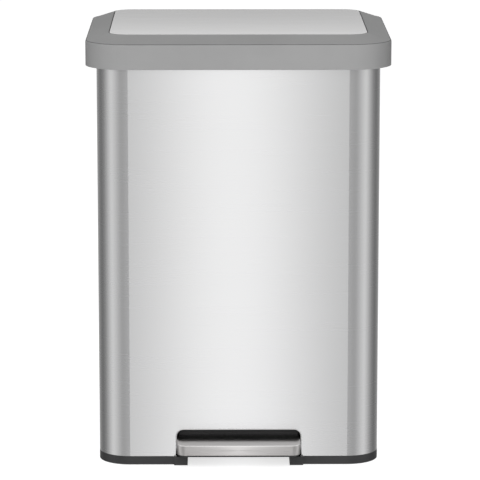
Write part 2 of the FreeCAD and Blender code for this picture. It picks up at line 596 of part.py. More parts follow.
def damper_rod():
    """The damper's piston rod, which rises with the lift rod."""
    body = piece("damper_rod")
    rod(body, "Rod", "z", "damper_rod_radius", "damper_rod_low", "clamp_low + rod_engage",
        "damper_place", DAMPER_Y)


def damper_clamp():
    """The clamp that ties the damper's rod to the lift rod."""
    body = piece("damper_clamp")
    up = ("clamp_low", "clamp_low + clamp_height")
    box(body, "Block", ("-clamp_half", "damper_place + clamp_half"),
        (f"{ROD_Y} - head_front", f"{DAMPER_Y} + head_front"), up)
    rod(body, "RodBore", "z", "rod_radius", f"clamp_low - {PAST}", f"clamp_low + clamp_height + {PAST}",
        "0", ROD_Y, cut=True)
    rod(body, "DamperBore", "z", "damper_rod_radius", f"clamp_low - {PAST}", "clamp_low + rod_engage",
        "damper_place", DAMPER_Y, cut=True)


def pedal_lever():
    """The pressed steel lever under the bucket, from the pedal to the rod's foot."""
    body = piece("pedal_lever")
    front = f"({PEDAL_FRONT} + lever_front)"
    end = f"({ROD_Y} - lever_plate_end)"
    box(body, "Channel", span("lever_half"), (front, end), ("lever_bottom", "lever_top"))
    box(body, "ChannelInside", span("lever_half - lever_sheet"), (f"{front} - {PAST}", f"{end} + {PAST}"),
        (f"lever_bottom - {PAST}", "lever_top - lever_sheet"), cut=True)
    box(body, "Tongue", span("tongue_half"), (f"{ROD_Y} - tongue_start", f"{ROD_Y} + tongue_past"),
        ("lever_bottom", "lever_top"))
    for side, sign in SIDES:
        low, high = (("lever_half - lever_sheet", "lever_half") if sign == "1"
                     else ("-lever_half", "lever_sheet - lever_half"))
        rod(body, "Boss" + side, "x", "lever_boss", low, high, PIVOT_Y, "pivot_height")
    rod(body, "AxleBore", "x", "axle_radius", *span(f"lever_half + {PAST}"), PIVOT_Y, "pivot_height",
        cut=True)
    rod(body, "PinBore", "x", "lever_pin_radius", *span(f"tongue_half + {PAST}"), ROD_Y, "pivot_height",
        cut=True)
    for name, across, along in rivet_places():
        rod(body, "Hole" + name, "z", "screw_radius", f"lever_bottom - {PAST}", f"lever_top + {PAST}",
            across, along, cut=True)


def rivet_places():
    """The four rivets between the lever and the pedal's core: name, x and y."""
    for side, sign in SIDES:
        across = f"{sign} * lever_half / 2"
        yield side + "Front", across, f"{PEDAL_FRONT} + lever_front + rivet_inset"
        yield side + "Rear", across, FRONT


def lever_pin():
    """The pin in the lever's tongue."""
    body = piece("lever_pin")
    rod(body, "Pin", "x", "lever_pin_radius", *span("foot_half + fit_gap"), ROD_Y, "pivot_height")


def pedal_outline(body, name, margin, up, cut=False):
    """The tread's outline, round at its front corners and square behind, drawn in by a margin."""
    rear = f"({FRONT} + pedal_inside)"
    front = f"({PEDAL_FRONT} + {margin})"
    width = f"(pedal_width - 2 * ({margin}))"
    corner = f"(pedal_corner - ({margin}))"
    depth = f"(2 * ({rear} - {front}))"
    prism(body, name, (width, depth, corner), up, rear, cut=cut)


def pedal_plate():
    """The steel tread, turned down at its front and sides."""
    body = piece("pedal_plate")
    pedal_outline(body, "Tread", "0", ("pedal_bottom", PEDAL_TOP))
    pedal_outline(body, "Inside", "tread_thickness",
                  (f"pedal_bottom - {PAST}", f"{PEDAL_TOP} - tread_thickness"), cut=True)
    box(body, "Rear", span(f"pedal_width / 2 + {PAST}"),
        (f"{FRONT} + pedal_inside", f"{FRONT} + 2 * pedal_inside + 2 * pedal_reach"),
        (f"pedal_bottom - {PAST}", f"{PEDAL_TOP} + {PAST}"), cut=True)
    edge = body.newObject("PartDesign::Fillet", "TreadEdge")
    base = edge.BaseFeature
    top = edges_at(lambda: base.Shape, PEDAL_TOP)
    rear = amount(f"{FRONT} + pedal_inside") - 0.001
    edge.Base = (base, [name for name in top if base.Shape.getElement(name).BoundBox.YMin < rear])
    bind(edge, "Radius", "tread_edge")


def pedal_core():
    """The moulded core that fills the tread, takes the lever's end and closes the cut-out behind."""
    body = piece("pedal_core")
    bottom = "pedal_bottom - core_below"
    pedal_outline(body, "Core", "tread_thickness + fit_gap",
                  (bottom, f"{PEDAL_TOP} - tread_thickness - fit_gap"))
    box(body, "Rear", span(f"pedal_width / 2 + {PAST}"),
        (f"{FRONT} + pedal_inside", f"{FRONT} + 2 * pedal_inside + 2 * pedal_reach"),
        (f"{bottom} - {PAST}", f"{PEDAL_TOP} + {PAST}"), cut=True)
    box(body, "Flap", span("pedal_width / 2 - flap_side"),
        (f"{FRONT} + pedal_inside", f"{FRONT} + pedal_inside + flap_thickness"),
        (bottom, "cutout_top - flap_gap"))
    box(body, "LeverSeat", span("lever_half + fit_gap"),
        (f"{PEDAL_FRONT} + lever_front - fit_gap", f"{FRONT} + pedal_inside + flap_thickness + {PAST}"),
        (f"{bottom} - {PAST}", "lever_top"), cut=True)
    for name, across, along in rivet_places():
        rod(body, "Hole" + name, "z", "screw_radius", "lever_bottom", f"{PEDAL_TOP}", across, along,
            cut=True)


def pedal_rivets():
    """The four rivets that hold the lever in the core."""
    body = piece("pedal_rivets")
    seat = "lever_top - lever_sheet"
    for name, across, along in rivet_places():
        rod(body, "Head" + name, "z", "screw_head_radius", f"{seat} - screw_head", seat, across, along)
        rod(body, "Shank" + name, "z", "screw_radius", seat,
            f"{PEDAL_TOP} - tread_thickness - fit_gap", across, along)


def pedal_axle():
    """The steel axle across the base."""
    body = piece("pedal_axle")
    end = "(axle_boss_outer + slide_gap + clip_thickness)"
    rod(body, "Axle", "x", "axle_radius", f"-{end}", end, PIVOT_Y, "pivot_height")


def axle_bushes():
    """Nylon bushes in the two axle bosses."""
    body = piece("axle_bushes")
    for side, sign in SIDES:
        low, high = (("axle_boss_inner", "axle_boss_outer") if sign == "1"
                     else ("-axle_boss_outer", "-axle_boss_inner"))
        rod(body, "Bush" + side, "x", "axle_radius + run_gap + axle_bush_wall", low, high, PIVOT_Y,
            "pivot_height")
        rod(body, "Bore" + side, "x", "axle_radius + run_gap", f"{low} - {PAST}", f"{high} + {PAST}",
            PIVOT_Y, "pivot_height", cut=True)


def axle_clips():
    """The spring clips that keep the axle in its bosses."""
    body = piece("axle_clips")
    near = "(axle_boss_outer + slide_gap)"
    far = "(axle_boss_outer + slide_gap + clip_thickness)"
    for side, low, high in (("Left", f"-{far}", f"-{near}"), ("Right", near, far)):
        rod(body, "Clip" + side, "x", "clip_radius", low, high, PIVOT_Y, "pivot_height")
        rod(body, "Bore" + side, "x", "axle_radius", f"{low} - {PAST}", f"{high} + {PAST}", PIVOT_Y,
            "pivot_height", cut=True)


def bucket():
    """The moulded inner bucket, which lifts out."""
    body = piece("bucket")
    prism(body, "Wall", BUCKET, ("bucket_bottom", "bucket_top"), BUCKET_Y)
    prism(body, "Hollow", inset(BUCKET, "bucket_wall"),
          ("bucket_bottom + bucket_wall", f"bucket_top + {PAST}"), BUCKET_Y, cut=True)


def bag_ring():
    """The ring that lies on the bucket's rim and holds the bag."""
    body = piece("bag_ring")
    skirt = inset(BUCKET, "bucket_wall + fit_gap")
    low = "bucket_top - bag_ring_skirt"
    high = "bucket_top + bag_ring_height"
    prism(body, "Plate", BUCKET, ("bucket_top", high), BUCKET_Y)
    prism(body, "Skirt", skirt, (low, "bucket_top"), BUCKET_Y)
    prism(body, "Hollow", inset(skirt, "bag_ring_wall"), (f"{low} - {PAST}", "bucket_top"), BUCKET_Y,
          cut=True)
    prism(body, "Mouth", inset(BUCKET, "bag_ring_width"), (f"{low} - {PAST}", f"{high} + {PAST}"),
          BUCKET_Y, cut=True)


for make in (body_shell, base_tray, base_feet, top_frame, lid_frame, lid_panel, lid_lining, lid_screws,
             lid_bumpers, hinge_pin, hinge_bushes, lid_crank, crank_pin, crank_screws, lift_rod, rod_head,
             rod_foot, rod_guides, guide_screws, damper_cylinder, damper_bracket, damper_rod,
             damper_clamp, pedal_lever, lever_pin, pedal_plate, pedal_core, pedal_rivets, pedal_axle,
             axle_bushes, axle_clips, bucket, bag_ring):
    make()
doc.recompute()

for item in doc.Objects:
    if "Invalid" in item.State or "Error" in item.State:
        raise RuntimeError(f"{item.Name} did not build: {item.State}")
pieces = [item for item in doc.Objects if item.TypeId == "PartDesign::Body"]
for body in pieces:
    if body.Shape.isNull() or not body.Shape.isValid():
        raise RuntimeError(f"{body.Label} has no valid shape")

os.makedirs("parts", exist_ok=True)
for body in pieces:
    body.Shape.exportStep(f"parts/{body.Label}.step")
    print(f"{body.Label}: {len(body.Shape.Solids)} solids, {body.Shape.Volume:.0f} mm3")
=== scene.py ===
"""The looks of a rectangular step-on waste bin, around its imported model.

Metres, +Z up, front towards -Y.
"""
import math

import bmesh
import bpy
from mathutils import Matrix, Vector


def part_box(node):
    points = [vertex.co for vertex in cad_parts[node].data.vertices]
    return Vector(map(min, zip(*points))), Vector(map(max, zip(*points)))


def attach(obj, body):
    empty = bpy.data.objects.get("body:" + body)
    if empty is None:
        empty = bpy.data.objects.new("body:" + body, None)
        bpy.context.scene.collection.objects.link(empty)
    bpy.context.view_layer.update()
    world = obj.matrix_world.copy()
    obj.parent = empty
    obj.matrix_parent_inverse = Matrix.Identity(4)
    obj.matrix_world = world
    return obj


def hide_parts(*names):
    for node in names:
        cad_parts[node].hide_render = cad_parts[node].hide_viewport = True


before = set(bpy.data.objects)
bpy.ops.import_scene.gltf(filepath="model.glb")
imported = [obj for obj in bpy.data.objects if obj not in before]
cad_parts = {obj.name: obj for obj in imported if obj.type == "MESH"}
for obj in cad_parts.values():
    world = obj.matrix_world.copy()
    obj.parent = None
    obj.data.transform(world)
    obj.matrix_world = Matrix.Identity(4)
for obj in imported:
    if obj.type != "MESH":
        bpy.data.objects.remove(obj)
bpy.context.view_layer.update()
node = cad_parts
MM = 0.001

# --- Studio -------------------------------------------------------------------------------------
# The bin stands on a white floor in a soft studio.  A large frontal lamp lights it, and the room
# that its steel mirrors is bright in front, with a grey wall to each side.  The floor is clear
# from beneath, so that the bin's underside can be looked at.


def linear(hex_colour):
    """An sRGB colour such as "9D9D9D" as linear red, green, blue and alpha."""
    levels = [int(hex_colour[place:place + 2], 16) / 255 for place in (0, 2, 4)]
    return (*[level / 12.92 if level <= 0.04045 else ((level + 0.055) / 1.055) ** 2.4
              for level in levels], 1.0)


def add(tree, kind, inputs=None, **settings):
    """Adds a node with its settings.  An input is a value, or an output socket to link it to."""
    made = tree.nodes.new(kind)
    for name, value in settings.items():
        setattr(made, name, value)
    for name, value in (inputs or {}).items():
        if isinstance(value, bpy.types.NodeSocket):
            tree.links.new(value, made.inputs[name])
        else:
            made.inputs[name].default_value = value
    return made


def ramp(tree, factor, stops):
    """A colour ramp over (position, grey level or colour) stops."""
    made = add(tree, "ShaderNodeValToRGB", {"Fac": factor})
    elements = made.color_ramp.elements
    while len(elements) < len(stops):
        elements.new(0.5)
    for element, (position, level) in zip(elements, stops):
        element.position = position
        element.color = level if isinstance(level, tuple) else (level, level, level, 1.0)
    return made.outputs["Color"]


def empty_tree(owner):
    """The owner's node tree, cleared."""
    owner.use_nodes = True
    owner.node_tree.nodes.clear()
    return owner.node_tree


scene = bpy.context.scene
scene.view_settings.view_transform = "Standard"

CAMERA_PLACE = Vector((-0.028, -4.2, 1.11))
CAMERA_TARGET = Vector((0.003, 0.0, 0.2895))
CAMERA_LENS = 225.0
camera_data = bpy.data.cameras.new("studio_camera")
camera_data.lens = CAMERA_LENS
camera = bpy.data.objects.new("studio_camera", camera_data)
camera.location = CAMERA_PLACE
camera.rotation_euler = (CAMERA_TARGET - CAMERA_PLACE).to_track_quat("-Z", "Y").to_euler()
scene.collection.objects.link(camera)
scene.camera = camera

# Brightness of the room that the steel mirrors: round its walls, by the angle from the front in
# degrees, and up from there, by the height of the direction looked in.  WALL_TOPS is where the
# walls give way to the sky, in front and at the rear.  REAR_TURN is the stretch of the half turn in
# which the one becomes the other.
ROOM_STRENGTH = 1.72
ROOM_WALLS = ((0, 1.0), (3, 0.88), (6, 0.43), (10, 0.31), (18, 0.28), (28, 0.26), (36, 0.265), (54, 0.41),
              (70, 0.52), (84, 0.36), (102, 0.17), (120, 0.10), (138, 0.16), (156, 0.28), (180, 0.38))
ROOM_SKY = ((-0.06, 0.24), (0.06, 0.13), (0.14, 0.20), (0.32, 0.62), (0.7, 0.58), (1.0, 0.68))
WALL_TOPS = ((0.16, 0.40), (-0.10, 0.06))
REAR_TURN = (0.42, 0.68)
AMBIENT = 0.36

world = bpy.data.worlds.new("studio_room")
scene.world = world
tree = empty_tree(world)
way = add(tree, "ShaderNodeSeparateXYZ",
          {"Vector": add(tree, "ShaderNodeTexCoord").outputs["Generated"]}).outputs
aside = add(tree, "ShaderNodeMath", {0: way["X"]}, operation="ABSOLUTE").outputs[0]
ahead = add(tree, "ShaderNodeMath", {0: way["Y"], 1: -1.0}, operation="MULTIPLY").outputs[0]
turn = add(tree, "ShaderNodeMath", {0: aside, 1: ahead}, operation="ARCTAN2").outputs[0]
share = add(tree, "ShaderNodeMath", {0: turn, 1: math.pi}, operation="DIVIDE").outputs[0]
walls = ramp(tree, share, [(degrees / 180, level) for degrees, level in ROOM_WALLS])
lift = add(tree, "ShaderNodeMapRange", {"Value": way["Z"], "From Min": -1.0, "From Max": 1.0}).outputs[0]
sky = ramp(tree, lift, [((height + 1) / 2, level) for height, level in ROOM_SKY])
over = [add(tree, "ShaderNodeMapRange", {"Value": way["Z"], "From Min": low, "From Max": high}).outputs[0]
        for low, high in WALL_TOPS]
rear = add(tree, "ShaderNodeMapRange", {"Value": share, "From Min": REAR_TURN[0],
                                        "From Max": REAR_TURN[1]}).outputs[0]
open_sky = add(tree, "ShaderNodeMix", {0: rear, 2: over[0], 3: over[1]}, data_type="FLOAT").outputs[0]
room = add(tree, "ShaderNodeMixRGB", {"Fac": open_sky, "Color1": walls, "Color2": sky})
light_path = add(tree, "ShaderNodeLightPath").outputs
soft = add(tree, "ShaderNodeBackground", {"Color": (1, 1, 1, 1), "Strength": AMBIENT})
seen = add(tree, "ShaderNodeBackground", {"Color": (1, 1, 1, 1), "Strength": 1.0})
steel_sees = add(tree, "ShaderNodeBackground", {"Color": room.outputs[0], "Strength": ROOM_STRENGTH})
gloss = add(tree, "ShaderNodeMixShader", {0: light_path["Is Glossy Ray"], 1: soft.outputs[0],
                                          2: steel_sees.outputs[0]})
clear = add(tree, "ShaderNodeMath", {0: light_path["Is Camera Ray"], 1: light_path["Is Transmission Ray"]},
            operation="MAXIMUM")
whole = add(tree, "ShaderNodeMixShader", {0: clear.outputs[0], 1: gloss.outputs[0], 2: seen.outputs[0]})
add(tree, "ShaderNodeOutputWorld", {"Surface": whole.outputs[0]})


def lamp(name, place, target, size, watts):
    """A square soft lamp that the steel does not mirror."""
    data = bpy.data.lights.new(name, "AREA")
    data.shape = "SQUARE"
    data.size = size
    data.energy = watts
    lit = bpy.data.objects.new(name, data)
    lit.location = place
    lit.rotation_euler = (Vector(target) - Vector(place)).to_track_quat("-Z", "Y").to_euler()
    lit.visible_glossy = False
    scene.collection.objects.link(lit)


lamp("front_lamp", place=(-0.3, -3.6, 2.0), target=(0, 0, 0.35), size=2.0, watts=98)
lamp("top_lamp", place=(0.0, 0.3, 3.2), target=(0, 0, 0.4), size=1.6, watts=4)

FLOOR_REACH = 8.0
FLOOR_GLOW = 0.70
floor_mesh = bpy.data.meshes.new("floor")
floor_mesh.from_pydata([(-FLOOR_REACH, -FLOOR_REACH, 0), (FLOOR_REACH, -FLOOR_REACH, 0),
                        (FLOOR_REACH, FLOOR_REACH, 0), (-FLOOR_REACH, FLOOR_REACH, 0)], [], [(0, 1, 2, 3)])
floor = bpy.data.objects.new("floor", floor_mesh)
scene.collection.objects.link(floor)
floor.visible_glossy = False

# White paper: to the eye an even white, which the bin's shadow only just greys.
paper = bpy.data.materials.new("white_paper")
tree = empty_tree(paper)
matte = add(tree, "ShaderNodeBsdfDiffuse", {"Color": linear("F2F2F2")})
glow = add(tree, "ShaderNodeEmission", {"Color": (1, 1, 1, 1), "Strength": FLOOR_GLOW})
lifted = add(tree, "ShaderNodeAddShader", {0: matte.outputs[0], 1: glow.outputs[0]})
is_camera = add(tree, "ShaderNodeLightPath").outputs["Is Camera Ray"]
both = add(tree, "ShaderNodeMixShader", {0: is_camera, 1: matte.outputs[0], 2: lifted.outputs[0]})
beneath = add(tree, "ShaderNodeNewGeometry").outputs["Backfacing"]
one_way = add(tree, "ShaderNodeMixShader", {0: beneath, 1: both.outputs[0],
                                            2: add(tree, "ShaderNodeBsdfTransparent").outputs[0]})
add(tree, "ShaderNodeOutputMaterial", {"Surface": one_way.outputs[0]})
floor_mesh.materials.append(paper)

# --- Steel wrap ---------------------------------------------------------------------------------
# One sheet of 430 stainless steel, folded round four soft corners and lock-seamed at the rear.
# It is belt-brushed along its length, so the grain runs level round the body.


def finish(name, **values):
    """A new material with its tree, its shader and the object's own coordinates."""
    material = bpy.data.materials.new(name)
    tree = empty_tree(material)
    shader = add(tree, "ShaderNodeBsdfPrincipled")
    for socket, value in values.items():
        shader.inputs[socket.replace("_", " ")].default_value = value
    add(tree, "ShaderNodeOutputMaterial", {"Surface": shader.outputs[0]})
    return material, tree, shader, add(tree, "ShaderNodeTexCoord").outputs["Object"]


def dress(names, material):
    """Puts one material on every slot of the named CAD nodes."""
    for name in names:
        mesh = node[name].data
        if not mesh.materials:
            mesh.materials.append(material)
        for index in range(len(mesh.materials)):
            mesh.materials[index] = material


def noise(tree, place, scale, detail=3.0, roughness=0.55):
    """A noise whose feature size is one over the scale, which may differ along each axis."""
    sized = add(tree, "ShaderNodeMapping", {"Vector": place, "Scale": scale}).outputs[0]
    return add(tree, "ShaderNodeTexNoise",
               {"Vector": sized, "Scale": 1.0, "Detail": detail, "Roughness": roughness}).outputs["Fac"]


def tint(tree, shader, factor, dark, light):
    """Lets a noise move the base colour between two hex colours."""
    colour = ramp(tree, factor, [(0.3, linear(dark)), (0.7, linear(light))])
    tree.links.new(colour, shader.inputs["Base Color"])


def relief(tree, shader, height, depth):
    """Turns a height between 0 and 1 into a bump of that depth in metres."""
    bump = add(tree, "ShaderNodeBump", {"Height": height, "Strength": 1.0, "Distance": depth})
    tree.links.new(bump.outputs[0], shader.inputs["Normal"])


def vary_roughness(tree, shader, factor, low, high):
    """Lets a noise move the roughness."""
    spread = add(tree, "ShaderNodeMapRange", {"Value": factor, "To Min": low, "To Max": high})
    tree.links.new(spread.outputs[0], shader.inputs["Roughness"])


SCRATCH_DEPTH = 0.0008 * MM
STEEL_CLOUDS = (5, 5, 3)


def brushed_steel(name, colours, grain, radial, bow=0.0, middle=(0, 0, 0), along=(1, 1, 0),
                  satin=(0.26, 0.28)):
    """Brushed stainless steel: a level satin whose grain of fine scratches runs one way.

    A panel bellies away from its middle: bow is how fast, and along says which way.  The shine is
    stretched round the radial axis, and satin is the range of the roughness.
    """
    material, tree, shader, place = finish(name, Metallic=1.0, Anisotropic=0.55,
                                           Anisotropic_Rotation=0.25)
    scratches = noise(tree, place, grain, 2.0, 0.5)
    clouds = noise(tree, place, STEEL_CLOUDS, 2.0)
    mixed = add(tree, "ShaderNodeMath", {0: scratches, 1: clouds}, operation="ADD").outputs[0]
    halved = add(tree, "ShaderNodeMath", {0: mixed, 1: 0.5}, operation="MULTIPLY").outputs[0]
    tint(tree, shader, halved, *colours)
    vary_roughness(tree, shader, scratches, *satin)
    off = add(tree, "ShaderNodeVectorMath", {0: place, 1: middle}, operation="SUBTRACT").outputs[0]
    flat = add(tree, "ShaderNodeVectorMath", {0: off, 1: along}, operation="MULTIPLY").outputs[0]
    away = add(tree, "ShaderNodeVectorMath", {0: flat, 1: flat}, operation="DOT_PRODUCT").outputs["Value"]
    bowed = add(tree, "ShaderNodeMath", {0: away, 1: -bow}, operation="MULTIPLY").outputs[0]
    fine = add(tree, "ShaderNodeMath", {0: scratches, 1: SCRATCH_DEPTH}, operation="MULTIPLY").outputs[0]
    total = add(tree, "ShaderNodeMath", {0: bowed, 1: fine}, operation="ADD").outputs[0]
    relief(tree, shader, total, 1.0)
    tangent = add(tree, "ShaderNodeTangent", direction_type="RADIAL", axis=radial)
    tree.links.new(tangent.outputs[0], shader.inputs["Tangent"])
    return material


# Scratches are drawn a millimetre wide, where the real ones are a tenth of that.  To the eye they
# are only a level haze.  The wide panels belly outwards, by about three degrees at their edges.
WRAP_GRAIN = (4, 4, 900)
WRAP_BOW = 0.17
wrap_steel = brushed_steel("belt_brushed_stainless", ("DADADA", "DCDCDD"), WRAP_GRAIN, "Z", WRAP_BOW)
dress(["body_shell"], wrap_steel)


SAME_PLACE = 1e-6


def islands(name):
    """The lowest and highest corners of each separate solid in a CAD node."""
    solid = bmesh.new()
    solid.from_mesh(node[name].data)
    bmesh.ops.remove_doubles(solid, verts=solid.verts, dist=SAME_PLACE)
    left, found = set(solid.verts), []
    while left:
        front, island = [left.pop()], []
        while front:
            corner = front.pop()
            island.append(corner.co)
            for edge in corner.link_edges:
                other = edge.other_vert(corner)
                if other in left:
                    left.remove(other)
                    front.append(other)
        found.append([Vector([ends(point[axis] for point in island) for axis in range(3)])
                      for ends in (min, max)])
    solid.free()
    return sorted(found, key=lambda corners: tuple(round(value, 4) for value in corners[0]))


def fit(name, mesh, material, body, slot, *replaced):
    """A finished piece: a mesh in one material, which rides on a body and may stand for CAD nodes."""
    mesh.name = name
    mesh.materials.clear()
    mesh.materials.append(material)
    made = bpy.data.objects.new(name, mesh)
    scene.collection.objects.link(made)
    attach(made, body)
    if replaced:
        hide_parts(*replaced)


def new_tree(name, sizes):
    """A geometry tree with named inputs, given as (name, socket kind) pairs, and their outputs."""
    tree = bpy.data.node_groups.new(name, "GeometryNodeTree")
    for label, kind in sizes:
        tree.interface.new_socket(label, in_out="INPUT", socket_type="NodeSocket" + kind)
    tree.interface.new_socket("Geometry", in_out="OUTPUT", socket_type="NodeSocketGeometry")
    return tree, tree.nodes.new("NodeGroupInput").outputs


def close_tree(tree, geometry, material):
    """Ends a geometry tree: its instances made real, and its material set."""
    real = add(tree, "GeometryNodeRealizeInstances", {"Geometry": geometry}).outputs[0]
    done = add(tree, "GeometryNodeSetMaterial", {"Geometry": real, "Material": material}).outputs[0]
    add(tree, "NodeGroupOutput", {"Geometry": done})


def grown(tree, places=((0, 0, 0),), **sizes):
    """The plain mesh that a geometry tree makes with these sizes, from a point at each place."""
    points = bpy.data.meshes.new(tree.name)
    points.from_pydata([tuple(place) for place in places], [], [])
    holder = bpy.data.objects.new(tree.name, points)
    scene.collection.objects.link(holder)
    modifier = holder.modifiers.new(tree.name, "NODES")
    modifier.node_group = tree
    for socket in tree.interface.items_tree:
        if socket.in_out == "INPUT" and socket.name.lower() in sizes:
            modifier[socket.identifier] = sizes[socket.name.lower()]
    bpy.context.view_layer.update()
    graph = bpy.context.evaluated_depsgraph_get()
    mesh = bpy.data.meshes.new_from_object(holder.evaluated_get(graph), depsgraph=graph)
    bpy.data.objects.remove(holder)
    return mesh


# A strip swept round a rounded rectangle: the beads, the gasket and the rim's line are made with
# it.  Its edges are rounded by a share of its thinner side.
BEAD_ROUNDING = 0.35
bead_tree, size = new_tree("swept_bead", [("Geometry", "Geometry"), ("Width", "Float"), ("Depth", "Float"),
                                          ("Corner", "Float"), ("Across", "Float"), ("Tall", "Float"),
                                          ("Place", "Vector"), ("Material", "Material")])
loop = add(bead_tree, "GeometryNodeCurvePrimitiveQuadrilateral", {"Width": size["Width"],
                                                                "Height": size["Depth"]}).outputs[0]
loop = add(bead_tree, "GeometryNodeFilletCurve", {"Curve": loop, "Radius": size["Corner"], "Count": 9,
                                                  "Limit Radius": True}, mode="POLY").outputs[0]
loop = add(bead_tree, "GeometryNodeSetCurveNormal", {"Curve": loop}, mode="Z_UP").outputs[0]
slice_ = add(bead_tree, "GeometryNodeCurvePrimitiveQuadrilateral", {"Width": size["Across"],
                                                                   "Height": size["Tall"]}).outputs[0]
half = add(bead_tree, "ShaderNodeMath", {0: size["Across"], 1: size["Tall"]}, operation="MINIMUM").outputs[0]
nose = add(bead_tree, "ShaderNodeMath", {0: half, 1: BEAD_ROUNDING}, operation="MULTIPLY").outputs[0]
slice_ = add(bead_tree, "GeometryNodeFilletCurve", {"Curve": slice_, "Radius": nose, "Count": 3,
                                                   "Limit Radius": True}, mode="POLY").outputs[0]
strip = add(bead_tree, "GeometryNodeCurveToMesh", {"Curve": loop, "Profile Curve": slice_}).outputs[0]
strip = add(bead_tree, "GeometryNodeTransform", {"Geometry": strip, "Translation": size["Place"]}).outputs[0]
close_tree(bead_tree, strip, size["Material"])


def ring(name, low, high, corner, across, tall, material, body, slot):
    """A swept bead whose outside follows a rounded rectangle, from corner low to corner high."""
    middle = (Vector(low) + Vector(high)) / 2
    mesh = grown(bead_tree, width=high[0] - low[0] - across, depth=high[1] - low[1] - across,
                 corner=corner - across / 2, across=across, tall=tall, place=middle, material=material)
    outward(mesh)
    fit(name, mesh, material, body, slot)


def outward(mesh):
    """Merges a mesh's doubles and turns its faces outwards."""
    solid = bmesh.new()
    solid.from_mesh(mesh)
    bmesh.ops.remove_doubles(solid, verts=solid.verts, dist=SAME_PLACE)
    bmesh.ops.recalc_face_normals(solid, faces=solid.faces)
    solid.to_mesh(mesh)
    solid.free()


# --- Lock seam ----------------------------------------------------------------------------------
# The wrap's two ends hook into each other down the rear and are rolled flat: a strip that stands a
# millimetre and a half proud, pressed in along one side and set with a row of small clinches.
BODY_LOW, BODY_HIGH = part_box("body_shell")
SEAM_PLACE, SEAM_WIDTH, SEAM_PROUD = 0.074, 9 * MM, 1.6 * MM
SEAM_SUNK, SEAM_NOSE, SEAM_INSET = 0.2 * MM, 0.4 * MM, 4 * MM


def skinned(name, outlines):
    """A closed mesh through outlines of points: each joined to the next, and both ends filled."""
    solid = bmesh.new()
    loops = [[solid.verts.new(point) for point in outline] for outline in outlines]
    for lower, upper in zip(loops, loops[1:]):
        for index in range(len(lower)):
            after = (index + 1) % len(lower)
            solid.faces.new((lower[index], lower[after], upper[after], upper[index]))
    for end in (loops[0], loops[-1]):
        solid.faces.new(end)
    bmesh.ops.recalc_face_normals(solid, faces=solid.faces)
    mesh = bpy.data.meshes.new(name)
    solid.to_mesh(mesh)
    solid.free()
    return mesh


def pressed_strip(low, high, step, nose):
    """A flat strip on the rear, one side thicker than the other, with its long edges rolled over."""
    width = high[0] - low[0]
    fold, thin = width * 0.55, step * 0.55
    outline = [(0, 0), (0, step - nose), (nose, step), (fold, step), (width * 0.60, thin),
               (width - nose, thin), (width, step * 0.3), (width, 0)]
    return skinned("strip", [[(low[0] + x, low[1] + y, level) for x, y in outline]
                             for level in (low[2], high[2])])


seam_low = (SEAM_PLACE - SEAM_WIDTH / 2, BODY_HIGH[1] - SEAM_SUNK, BODY_LOW[2] + SEAM_INSET)
seam_high = (SEAM_PLACE + SEAM_WIDTH / 2, BODY_HIGH[1], BODY_HIGH[2] - SEAM_INSET)
fit("lock_seam", pressed_strip(seam_low, seam_high, SEAM_PROUD + SEAM_SUNK, SEAM_NOSE), wrap_steel,
    "bin", "brushed_stainless")

# Domed buttons, used for the clinches: a disc drawn up in three steps, each one narrower.  A step is
# its share of the height, and what is left of the width.
DOME_STEPS = ((0.45, 0.95), (0.33, 0.80), (0.22, 0.60))
button_tree, size = new_tree("domed_button", [("Geometry", "Geometry"), ("Radius", "Float"),
                                              ("Height", "Float"), ("Facing", "Vector"),
                                              ("Material", "Material")])


def domed(tree, radius, height, sides):
    """A dome over a disc, drawn up from the disc in steps.  Its underside is closed."""
    disc = add(tree, "GeometryNodeMeshCircle", {"Vertices": sides, "Radius": radius},
               fill_type="NGON").outputs[0]
    shape, chosen = disc, None
    for rise, narrow in DOME_STEPS:
        lifted = add(tree, "ShaderNodeMath", {0: height, 1: rise}, operation="MULTIPLY").outputs[0]
        sockets = {"Mesh": shape, "Offset Scale": lifted}
        if chosen:
            sockets["Selection"] = chosen
        drawn = add(tree, "GeometryNodeExtrudeMesh", sockets, mode="FACES").outputs
        chosen = drawn["Top"]
        shape = add(tree, "GeometryNodeScaleElements",
                    {"Geometry": drawn["Mesh"], "Selection": chosen, "Scale": narrow}).outputs[0]
    under = add(tree, "GeometryNodeFlipFaces", {"Mesh": disc}).outputs[0]
    joined = tree.nodes.new("GeometryNodeJoinGeometry")
    tree.links.new(shape, joined.inputs[0])
    tree.links.new(under, joined.inputs[0])
    return add(tree, "GeometryNodeMergeByDistance",
               {"Geometry": joined.outputs[0], "Distance": 0.01 * MM}).outputs[0]


spread = add(button_tree, "GeometryNodeInstanceOnPoints",
             {"Points": size["Geometry"], "Instance": domed(button_tree, size["Radius"], size["Height"], 14),
              "Rotation": add(button_tree, "FunctionNodeEulerToRotation", {0: size["Facing"]}).outputs[0]})
close_tree(button_tree, spread.outputs[0], size["Material"])

TO_REAR = (-math.pi / 2, 0, 0)
TO_FLOOR = (math.pi, 0, 0)
CLINCHES, CLINCH_RADIUS, CLINCH_TALL = 9, 1.6 * MM, 0.7 * MM
CLINCH_SUNK, CLINCH_MARGIN = 0.1 * MM, 30 * MM
clinch_run = BODY_HIGH[2] - BODY_LOW[2] - 2 * CLINCH_MARGIN
clinch_places = [(SEAM_PLACE - SEAM_WIDTH * 0.22, BODY_HIGH[1] + SEAM_PROUD - CLINCH_SUNK,
                  BODY_LOW[2] + CLINCH_MARGIN + clinch_run * number / (CLINCHES - 1))
                 for number in range(CLINCHES)]
fit("seam_clinches", grown(button_tree, clinch_places, radius=CLINCH_RADIUS, height=CLINCH_TALL,
                           facing=TO_REAR, material=wrap_steel), wrap_steel, "bin", "brushed_stainless")

